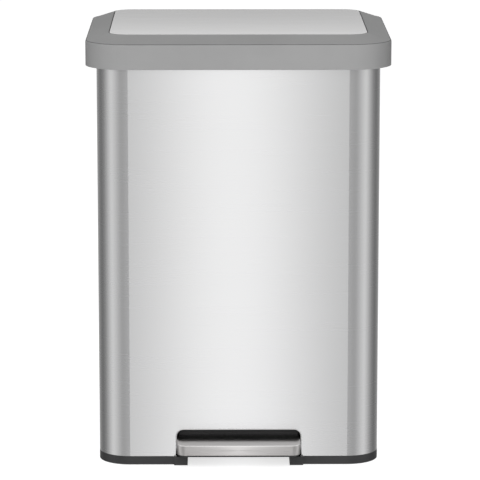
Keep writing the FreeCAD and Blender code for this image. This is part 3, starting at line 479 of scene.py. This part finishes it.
# --- Cut-out welt -------------------------------------------------------------------------------
# The wrap's raw edge round the pedal's cut-out is turned back on itself, which leaves a thin round
# welt that catches the light above the black box behind it.
CUT_HALF, CUT_TOP, CUT_CORNER = 86.5 * MM, 51 * MM, 10 * MM
WELT_RADIUS, WELT_OUT, WELT_SUNK, WELT_START = 0.9 * MM, 0.4 * MM, 0.2 * MM, 1 * MM


def tube_along(name, points, radius, sides=8):
    """A round rod along a line of points, with closed ends."""
    line = bpy.data.curves.new(name, "CURVE")
    line.dimensions = "3D"
    run = line.splines.new("POLY")
    run.points.add(len(points) - 1)
    for point, place in zip(run.points, points):
        point.co = (*place, 1.0)
    line.bevel_depth = radius
    line.bevel_resolution = sides // 2 - 2
    line.use_fill_caps = True
    holder = bpy.data.objects.new(name, line)
    scene.collection.objects.link(holder)
    graph = bpy.context.evaluated_depsgraph_get()
    mesh = bpy.data.meshes.new_from_object(holder.evaluated_get(graph), depsgraph=graph)
    bpy.data.objects.remove(holder)
    outward(mesh)
    return mesh


def arch(half, low, top, corner, y):
    """Points up one side of a cut-out, over its rounded corners and down the other side."""
    points = [(-half, y, low)]
    for centre, start in ((-half + corner, 180), (half - corner, 90)):
        points += [(centre + corner * math.cos(math.radians(start - 15 * step)), y,
                    top - corner + corner * math.sin(math.radians(start - 15 * step))) for step in range(7)]
    return points + [(half, y, low)]


welt_line = arch(CUT_HALF + WELT_OUT, BODY_LOW[2] + WELT_START, CUT_TOP + WELT_OUT, CUT_CORNER,
                 BODY_LOW[1] + WELT_SUNK)
fit("cutout_welt", tube_along("cutout_welt", welt_line, WELT_RADIUS), wrap_steel, "bin", "brushed_stainless")

# --- Lid inlay ----------------------------------------------------------------------------------
# A flat sheet of the same steel with its edge turned down into the rim, brushed from side to side
# and slightly crowned.  To the eye it is the wrap's satin again, with a slow shade over the crown.
INLAY_GRAIN, INLAY_BOW = (4, 900, 4), 0.21
inlay_steel = brushed_steel("inlay_brushed_stainless", ("D6D5D5", "DADADA"), INLAY_GRAIN, "Y", INLAY_BOW)
dress(["lid_panel"], inlay_steel)

# --- Moulded parts ------------------------------------------------------------------------------
# The lid's rim is injection-moulded grey ABS with a spark-eroded texture.  The base, the collar,
# the guides and the pedal's core are black polypropylene, and the bucket is dark grey.


def moulded(name, colours, roughness, grain_mm, depth_mm, reflectance=0.5):
    """Moulded plastic: even in colour, with a fine pebbled texture that dulls it."""
    material, tree, shader, place = finish(name, IOR=1.5, Roughness=roughness,
                                           Specular_IOR_Level=reflectance)
    pebbles = noise(tree, place, (1 / (grain_mm * MM),) * 3, 2.0)
    clouds = noise(tree, place, (9, 9, 9), 3.0)
    tint(tree, shader, clouds, *colours)
    relief(tree, shader, pebbles, depth_mm * MM)
    return material


# Spark-eroded grey ABS: an even mid grey that hardly shines.
rim_plastic = moulded("textured_grey_abs", ("959595", "9B9B9B"), roughness=0.62, grain_mm=1.1,
                      depth_mm=0.05, reflectance=0.2)
dress(["lid_frame"], rim_plastic)

# Black polypropylene: nearly black, with a soft dull shine.
base_plastic = moulded("black_polypropylene", ("2A2A2B", "323233"), roughness=0.45, grain_mm=1.2,
                       depth_mm=0.05)
dress(["base_tray", "top_frame", "rod_head", "rod_foot", "rod_guides", "damper_bracket", "damper_clamp",
       "pedal_core"], base_plastic)

# Dark grey polypropylene: a shade lighter than the base, and duller.
liner_plastic = moulded("dark_grey_polypropylene", ("45464A", "4E4F53"), roughness=0.5, grain_mm=1.4,
                        depth_mm=0.05)
dress(["bucket", "bag_ring", "lid_lining", "damper_cylinder"], liner_plastic)

# Moulded black rubber: flat and black, without a highlight.
rubber = moulded("moulded_black_rubber", ("1C1C1D", "232324"), roughness=0.75, grain_mm=0.9,
                 depth_mm=0.08)
dress(["base_feet", "lid_bumpers"], rubber)

# Moulded white nylon: milky, with a faint waxy shine.
nylon = moulded("moulded_white_nylon", ("D9D6CC", "E2DFD6"), roughness=0.4, grain_mm=0.8, depth_mm=0.02)
dress(["hinge_bushes", "axle_bushes"], nylon)

# --- Inlay groove cord --------------------------------------------------------------------------
# A cord of black rubber lies in the groove between the inlay and the rim.  Only a thin
# dark line of it shows.  Its black is painted shade, standing in for the shadow down in the groove.
INLAY_LOW, INLAY_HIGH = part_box("lid_panel")
INLAY_CORNER, SHADE_CORD, SHADE_CORD_TALL, SHADE_CORD_SUNK = 25 * MM, 1.1 * MM, 1.0 * MM, 0.4 * MM
# The cord's black paints the shade in the groove round the inlay.
ring("inlay_shade_cord",
     (INLAY_LOW[0] - SHADE_CORD, INLAY_LOW[1] - SHADE_CORD, INLAY_HIGH[2] - SHADE_CORD_SUNK - SHADE_CORD_TALL),
     (INLAY_HIGH[0] + SHADE_CORD, INLAY_HIGH[1] + SHADE_CORD, INLAY_HIGH[2] - SHADE_CORD_SUNK),
     INLAY_CORNER + SHADE_CORD, SHADE_CORD * 1.2, SHADE_CORD_TALL, rubber, "lid", "black_rubber")

# --- Rim line in painted shade ------------------------------------------------------------------
# The mould that forms the rim's band meets the one that forms its slope just above the edge.  They
# leave a fine line there, all the way round.  Its darker grey is painted shade: the rim's grey as it looks in
# the shadow of that crease.
RIM_LOW, RIM_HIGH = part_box("lid_frame")
RIM_EDGE, RIM_CORNER = 591.35 * MM, 58 * MM
WITNESS_INSET, WITNESS_WIDE, WITNESS_TALL = 0.7 * MM, 0.9 * MM, 0.7 * MM
# A darker copy of the rim's grey, which paints the shade along the line.
rim_shade_plastic = moulded("shaded_grey_abs", ("5E5E5E", "666666"), roughness=0.62, grain_mm=1.1,
                          depth_mm=0.02, reflectance=0.2)
ring("rim_shade_line",
     (RIM_LOW[0] + WITNESS_INSET, RIM_LOW[1] + WITNESS_INSET, RIM_EDGE - WITNESS_TALL / 2),
     (RIM_HIGH[0] - WITNESS_INSET, RIM_HIGH[1] - WITNESS_INSET, RIM_EDGE + WITNESS_TALL / 2),
     RIM_CORNER - WITNESS_INSET, WITNESS_WIDE, WITNESS_TALL, rim_shade_plastic, "lid", "grey_abs")

# --- Lid lining ---------------------------------------------------------------------------------
# The lid's underside is closed by a moulded tray.  A raised bead runs round it, and a grid of low
# ribs stiffens the wide panel inside the bead.
LINING_LOW, LINING_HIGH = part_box("lid_lining")
LINING_FACE = LINING_LOW[2]
BEAD_INSET, BEAD_CORNER, BEAD_TALL, BEAD_WIDE = 34 * MM, 34 * MM, 2.4 * MM, 4 * MM
ring("lining_bead", (LINING_LOW[0] + BEAD_INSET, LINING_LOW[1] + BEAD_INSET, LINING_FACE - BEAD_TALL),
     (LINING_HIGH[0] - BEAD_INSET, LINING_HIGH[1] - BEAD_INSET, LINING_FACE + BEAD_TALL), BEAD_CORNER,
     BEAD_WIDE, 2 * BEAD_TALL, liner_plastic, "lid", "dark_grey_pp")

# A row of straight ribs side by side, with edges rounded by a share of their thickness.
RIB_ROUNDING = 0.3
rib_tree, size = new_tree("rib_row", [("Geometry", "Geometry"), ("Count", "Int"), ("Pitch", "Vector"),
                                      ("From", "Vector"), ("To", "Vector"), ("Thick", "Float"),
                                      ("Tall", "Float"), ("Material", "Material")])
rib = add(rib_tree, "GeometryNodeCurvePrimitiveLine", {"Start": size["From"], "End": size["To"]}).outputs[0]
rib = add(rib_tree, "GeometryNodeSetCurveNormal", {"Curve": rib}, mode="Z_UP").outputs[0]
slice_ = add(rib_tree, "GeometryNodeCurvePrimitiveQuadrilateral", {"Width": size["Thick"],
                                                                  "Height": size["Tall"]}).outputs[0]
nose = add(rib_tree, "ShaderNodeMath", {0: size["Thick"], 1: RIB_ROUNDING}, operation="MULTIPLY").outputs[0]
slice_ = add(rib_tree, "GeometryNodeFilletCurve", {"Curve": slice_, "Radius": nose, "Count": 3,
                                                  "Limit Radius": True}, mode="POLY").outputs[0]
rib = add(rib_tree, "GeometryNodeCurveToMesh", {"Curve": rib, "Profile Curve": slice_,
                                                "Fill Caps": True}).outputs[0]
row = add(rib_tree, "GeometryNodeMeshLine", {"Count": size["Count"], "Offset": size["Pitch"]}).outputs[0]
row = add(rib_tree, "GeometryNodeInstanceOnPoints", {"Points": row, "Instance": rib}).outputs[0]
close_tree(rib_tree, row, size["Material"])


def ribs(name, count, pitch, start, stop, thick, tall, material, body, slot):
    """A row of moulded ribs: the first runs from start to stop, and the rest follow by the pitch."""
    mesh = grown(rib_tree, count=count, pitch=pitch, thick=thick, tall=tall, material=material,
                 **{"from": start, "to": stop})
    outward(mesh)
    fit(name, mesh, material, body, slot)


RIBS, CROSS_PITCH = 5, 44 * MM
RIB_REACH, RIB_FRONT, RIB_THICK, RIB_TALL = 100 * MM, -89 * MM, 1.8 * MM, 4.0 * MM
ribs("lining_cross_ribs", RIBS, (0, CROSS_PITCH, 0), (-RIB_REACH, RIB_FRONT, LINING_FACE),
     (RIB_REACH, RIB_FRONT, LINING_FACE), RIB_THICK, RIB_TALL, liner_plastic, "lid", "dark_grey_pp")
ribs("lining_long_ribs", RIBS, (2 * RIB_REACH / (RIBS - 1), 0, 0), (-RIB_REACH, RIB_FRONT, LINING_FACE),
     (-RIB_REACH, RIB_FRONT + (RIBS - 1) * CROSS_PITCH, LINING_FACE), RIB_THICK, RIB_TALL * 0.8,
     liner_plastic, "lid", "dark_grey_pp")

# --- Bucket beads -------------------------------------------------------------------------------
# The lift-out bucket is moulded with two beads round its wall, one near the top and one half-way
# down.  They keep the long sides from bulging.
BUCKET_LOW, BUCKET_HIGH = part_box("bucket")
HOOP_INSET, HOOP_CORNER, HOOP_WIDE, HOOP_TALL = 11 * MM, 32 * MM, 5 * MM, 3 * MM
for drop, label in ((34 * MM, "upper"), (250 * MM, "lower")):
    level = BUCKET_HIGH[2] - drop
    ring(f"bucket_{label}_bead",
         (BUCKET_LOW[0] + HOOP_INSET, BUCKET_LOW[1] + HOOP_INSET, level - HOOP_TALL / 2),
         (BUCKET_HIGH[0] - HOOP_INSET, BUCKET_HIGH[1] - HOOP_INSET, level + HOOP_TALL / 2),
         HOOP_CORNER, HOOP_WIDE, HOOP_TALL, liner_plastic, "bin", "dark_grey_pp")

# --- Pedal --------------------------------------------------------------------------------------
# The tread is drawn from thicker stainless steel over a moulded core: a shallow pan with a rounded
# nose, soft corners and a slightly crowned top, brushed along its width.
TREAD_LOW, TREAD_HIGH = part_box("pedal_plate")
TREAD_FRONT_CORNER, TREAD_REAR_CORNER = 12 * MM, 3 * MM
TREAD_NOSE, TREAD_SHEET, TREAD_CROWN = 1.3 * MM, 1.2 * MM, 0.7 * MM
CROWN_START, LEAST_CORNER, HEM = 20 * MM, 0.3 * MM, 0.6 * MM
SKIRT_DROP, SKIRT_TALL, SKIRT_FRONT, SKIRT_REAR = 3 * MM, 5 * MM, -0.178, -0.163

# Thicker brushed steel: to the eye a warmer and duller satin than the wrap's.
TREAD_GRAIN, TREAD_BOW, BOW_BEHIND = (20, 700, 700), 1.5, 25 * MM
tread_steel = brushed_steel("tread_brushed_stainless", ("C9C6C5", "D0CECD"), TREAD_GRAIN, "Y", TREAD_BOW,
                            middle=(0, TREAD_HIGH[1] + BOW_BEHIND, 0), along=(0.25, 1, 0),
                            satin=(0.26, 0.31))


def pan_ring(inset, z, steps=6):
    """The corner points of the tread's outline, drawn in by an inset, at a height."""
    points = []
    for corner_x, corner_y, start, corner in (
            (TREAD_HIGH[0], TREAD_LOW[1], -90, TREAD_FRONT_CORNER),
            (TREAD_HIGH[0], TREAD_HIGH[1], 0, TREAD_REAR_CORNER),
            (TREAD_LOW[0], TREAD_HIGH[1], 90, TREAD_REAR_CORNER),
            (TREAD_LOW[0], TREAD_LOW[1], 180, TREAD_FRONT_CORNER)):
        side = 1 if corner_x > 0 else -1
        front = -1 if corner_y == TREAD_LOW[1] else 1
        radius = max(corner - inset, LEAST_CORNER)
        middle = (corner_x - side * (inset + radius), corner_y - front * (inset + radius))
        for step in range(steps + 1):
            angle = math.radians(start + 90 * step / steps)
            points.append((middle[0] + radius * math.cos(angle), middle[1] + radius * math.sin(angle), z))
    return points


def crowned(point):
    """The height that the crown takes off a point of the tread's top."""
    start = TREAD_HIGH[1] - CROWN_START
    return TREAD_CROWN * max(0.0, (start - point[1]) / (start - TREAD_LOW[1])) ** 2


def settled(point):
    """The height of a point of the pan: its top is crowned, and its front skirt hangs lower."""
    x, y, height = point
    if height > TREAD_LOW[2] + SKIRT_TALL:
        return height - crowned(point)
    return height - SKIRT_DROP * min(1.0, max(0.0, (SKIRT_REAR - y) / (SKIRT_REAR - SKIRT_FRONT)))


# The pan's section as insets and heights: from its inside over the skirt's hem, the side and the
# nose to the middle of the top.
levels = [(TREAD_SHEET, TREAD_HIGH[2] - TREAD_SHEET - 0.2 * MM), (TREAD_SHEET, TREAD_LOW[2] + HEM),
          (TREAD_SHEET * 0.5, TREAD_LOW[2]), (0, TREAD_LOW[2] + HEM), (0, TREAD_HIGH[2] - TREAD_NOSE)]
levels += [(TREAD_NOSE * (1 - math.cos(math.radians(angle))),
            TREAD_HIGH[2] - TREAD_NOSE * (1 - math.sin(math.radians(angle))))
           for angle in (18, 36, 54, 72, 90)]
levels += [(inset * MM, TREAD_HIGH[2]) for inset in (5, 9, 13, 17, 21, 25, 28)]
pan = skinned("pedal_tread", [[(point[0], point[1], settled(point)) for point in pan_ring(inset, z)]
                              for inset, z in levels])
for face in pan.polygons:
    face.use_smooth = len(face.vertices) == 4
fit("pedal_tread", pan, tread_steel, "pedal", "pressed_stainless", "pedal_plate")

# A thin rod of smoother steel runs along the front edge.  Its lighter colour is a painted highlight: the soft
# bright line along the edge.
HIGHLIGHT_ROD, EDGE_WRAP, EDGE_GRAIN = 0.95 * MM, 2 * MM, (20, 300, 300)
# Steel lighter than the tread's, which paints the edge's highlight.
edge_highlight_steel = brushed_steel("edge_highlight_stainless", ("E2E1E0", "E8E7E6"), EDGE_GRAIN, "Y",
                                satin=(0.16, 0.20))
edge = [(x, y, TREAD_HIGH[2] - HIGHLIGHT_ROD - crowned((x, y)))
        for x, y, z in pan_ring(HIGHLIGHT_ROD, 0) if y < SKIRT_FRONT + EDGE_WRAP]
half_way = len(edge) // 2
edge = edge[half_way:] + edge[:half_way]
fit("tread_highlight_edge", tube_along("tread_highlight_edge", edge, HIGHLIGHT_ROD), edge_highlight_steel, "pedal",
    "pressed_stainless")

# The core's moulded lip shows under the skirt as a thin black line round the front of the tread.
LIP_RADIUS, LIP_INSET, LIP_DROP, LIP_CORNER = 2.0 * MM, 3.8 * MM, 3.8 * MM, 8 * MM
LIP_LEVEL = TREAD_LOW[2] - LIP_DROP
lip_half, lip_front = TREAD_HIGH[0] - LIP_INSET, TREAD_LOW[1] + LIP_INSET
lip_line = [(-lip_half, SKIRT_REAR, LIP_LEVEL)]
for centre, start in ((-lip_half + LIP_CORNER, 180), (lip_half - LIP_CORNER, 270)):
    lip_line += [(centre + LIP_CORNER * math.cos(math.radians(start + 15 * step)),
                  lip_front + LIP_CORNER + LIP_CORNER * math.sin(math.radians(start + 15 * step)), LIP_LEVEL)
                 for step in range(7)]
lip_line.append((lip_half, SKIRT_REAR, LIP_LEVEL))
fit("pedal_core_lip", tube_along("pedal_core_lip", lip_line, LIP_RADIUS), base_plastic, "pedal", "black_pp")

# --- Mechanism ----------------------------------------------------------------------------------
# Lever, crank, rods and pins are mild steel, barrel-plated with zinc: a clear, slightly cloudy grey.


def plated(name, colours):
    """Zinc plating: a cloudy satin metal."""
    material, tree, shader, place = finish(name, Metallic=1.0)
    clouds = noise(tree, place, (140, 140, 140), 4.0)
    tint(tree, shader, clouds, *colours)
    vary_roughness(tree, shader, clouds, 0.28, 0.46)
    relief(tree, shader, clouds, 0.03 * MM)
    return material


zinc = plated("zinc_plated_steel", ("B4B6B8", "CBCDCF"))
dress(["hinge_pin", "lid_crank", "crank_pin", "lift_rod", "damper_rod", "pedal_lever", "lever_pin",
       "pedal_axle", "axle_clips", "pedal_rivets"], zinc)

# --- Base ribs ----------------------------------------------------------------------------------
# The base is moulded with low ribs across its underside.  They stop short of the floor, which only
# the feet touch.
BASE_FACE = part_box("base_tray")[0][2]
BASE_RIBS, BASE_PITCH, BASE_FIRST, BASE_REACH = 6, 36 * MM, -30 * MM, 150 * MM
BASE_RIB_THICK, BASE_RIB_TALL = 2.4 * MM, 1.2 * MM
ribs("base_underside_ribs", BASE_RIBS, (0, BASE_PITCH, 0), (-BASE_REACH, BASE_FIRST, BASE_FACE),
     (BASE_REACH, BASE_FIRST, BASE_FACE), BASE_RIB_THICK, BASE_RIB_TALL, base_plastic, "bin", "black_pp")

# --- Screws -------------------------------------------------------------------------------------
# Zinc-plated pan-head screws with a cross recess hold the guides to the wrap, and the lining and the
# crank to the lid.  Each is turned to where its driver left it.
CROSS_REACH, CROSS_WIDTH = 1.15, 0.28
screw_tree, size = new_tree("pan_head_screws", [("Geometry", "Geometry"), ("Radius", "Float"),
                                                ("Height", "Float"), ("Shank", "Float"),
                                                ("Facing", "Vector"), ("Seed", "Int"),
                                                ("Material", "Material")])
head = domed(screw_tree, size["Radius"], size["Height"], 18)
arm = add(screw_tree, "ShaderNodeMath", {0: size["Radius"], 1: CROSS_REACH},
          operation="MULTIPLY").outputs[0]
slot_width = add(screw_tree, "ShaderNodeMath", {0: size["Radius"], 1: CROSS_WIDTH},
                 operation="MULTIPLY").outputs[0]
cross = []
for sides in ((arm, slot_width), (slot_width, arm)):
    cut = add(screw_tree, "ShaderNodeCombineXYZ",
              {"X": sides[0], "Y": sides[1], "Z": size["Height"]}).outputs[0]
    bar = add(screw_tree, "GeometryNodeMeshCube", {"Size": cut}).outputs[0]
    up = add(screw_tree, "ShaderNodeCombineXYZ", {"Z": size["Height"]}).outputs[0]
    cross.append(add(screw_tree, "GeometryNodeTransform", {"Geometry": bar, "Translation": up}).outputs[0])
recessed = add(screw_tree, "GeometryNodeMeshBoolean", {"Mesh 1": head}, operation="DIFFERENCE",
               solver="EXACT")
for bar in cross:
    screw_tree.links.new(bar, recessed.inputs["Mesh 2"])
thin = add(screw_tree, "ShaderNodeMath", {0: size["Radius"], 1: 0.5}, operation="MULTIPLY").outputs[0]
down = add(screw_tree, "ShaderNodeMath", {0: size["Shank"], 1: -0.5}, operation="MULTIPLY").outputs[0]
shank = add(screw_tree, "GeometryNodeMeshCylinder", {"Vertices": 12, "Radius": thin, "Depth": size["Shank"]})
shank = add(screw_tree, "GeometryNodeTransform",
            {"Geometry": shank.outputs["Mesh"],
             "Translation": add(screw_tree, "ShaderNodeCombineXYZ", {"Z": down}).outputs[0]}).outputs[0]
screw = screw_tree.nodes.new("GeometryNodeJoinGeometry")
for part in (recessed.outputs["Mesh"], shank):
    screw_tree.links.new(part, screw.inputs[0])
set_in = add(screw_tree, "GeometryNodeInstanceOnPoints",
             {"Points": size["Geometry"], "Instance": screw.outputs[0],
              "Rotation": add(screw_tree, "FunctionNodeEulerToRotation", {0: size["Facing"]}).outputs[0]})
chance = add(screw_tree, "FunctionNodeRandomValue", {"Seed": size["Seed"]},
             data_type="FLOAT").outputs["Value"]
twist = add(screw_tree, "ShaderNodeMath", {0: chance, 1: math.pi}, operation="MULTIPLY").outputs[0]
twist = add(screw_tree, "ShaderNodeCombineXYZ", {"Z": twist}).outputs[0]
twist = add(screw_tree, "FunctionNodeEulerToRotation", {0: twist}).outputs[0]
turned = add(screw_tree, "GeometryNodeRotateInstances",
             {"Instances": set_in.outputs[0], "Rotation": twist})
close_tree(screw_tree, turned.outputs[0], size["Material"])


def screws(name, replaced, body, facing, seed, head_height=2.0 * MM):
    """Screws in the places of a CAD node's, with their heads towards the rear or the floor."""
    places, radius, shank = [], 0, 0
    for low, high in islands(replaced):
        middle = (low + high) / 2
        radius = (high[0] - low[0]) / 2
        if facing == TO_REAR:
            places.append((middle[0], high[1] - head_height, middle[2]))
            shank = high[1] - low[1] - head_height
        else:
            places.append((middle[0], middle[1], low[2] + head_height))
            shank = high[2] - low[2] - head_height
    mesh = grown(screw_tree, places, radius=radius, height=head_height, shank=shank, facing=facing, seed=seed,
                 material=zinc)
    fit(name, mesh, zinc, body, "zinc_steel", replaced)


screws("guide_cross_screws", "guide_screws", "bin", TO_REAR, 3)
screws("lining_cross_screws", "lid_screws", "lid", TO_FLOOR, 5)
screws("crank_cross_screws", "crank_screws", "lid", TO_FLOOR, 7)

# --- Feet ---------------------------------------------------------------------------------------
# Discs of black rubber are glued under the base.  Each has a flat rim, two rings inside it and a
# dimple in the middle, so that the bin doesn't slide when the pedal is pressed.


def turned_disc(low, high, outline, sides=36):
    """A disc in a solid's place, with its outline turned round its upright axis."""
    middle, radius, tall = (low + high) / 2, (high[0] - low[0]) / 2, high[2] - low[2]
    turns = [2 * math.pi * side / sides for side in range(sides)]
    return skinned("disc", [[(middle[0] + radius * share * math.cos(turn),
                              middle[1] + radius * share * math.sin(turn),
                              low[2] + tall * level) for turn in turns] for share, level in outline])


def joined(meshes):
    """Several meshes as one."""
    solid = bmesh.new()
    for mesh in meshes:
        solid.from_mesh(mesh)
    whole = bpy.data.meshes.new("joined")
    solid.to_mesh(whole)
    solid.free()
    return whole


FOOT_OUTLINE = [(0.10, 0.55), (0.14, 0.05), (0.30, 0.05), (0.33, 0.55), (0.40, 0.55), (0.43, 0.0),
                (0.56, 0.0), (0.59, 0.55), (0.66, 0.55), (0.69, 0.0), (0.96, 0.0), (1.0, 0.3),
                (1.0, 1.0), (0.2, 1.0)]
feet = [turned_disc(low, high, FOOT_OUTLINE) for low, high in islands("base_feet")]
fit("ringed_feet", joined(feet), rubber, "bin", "black_rubber", "base_feet")
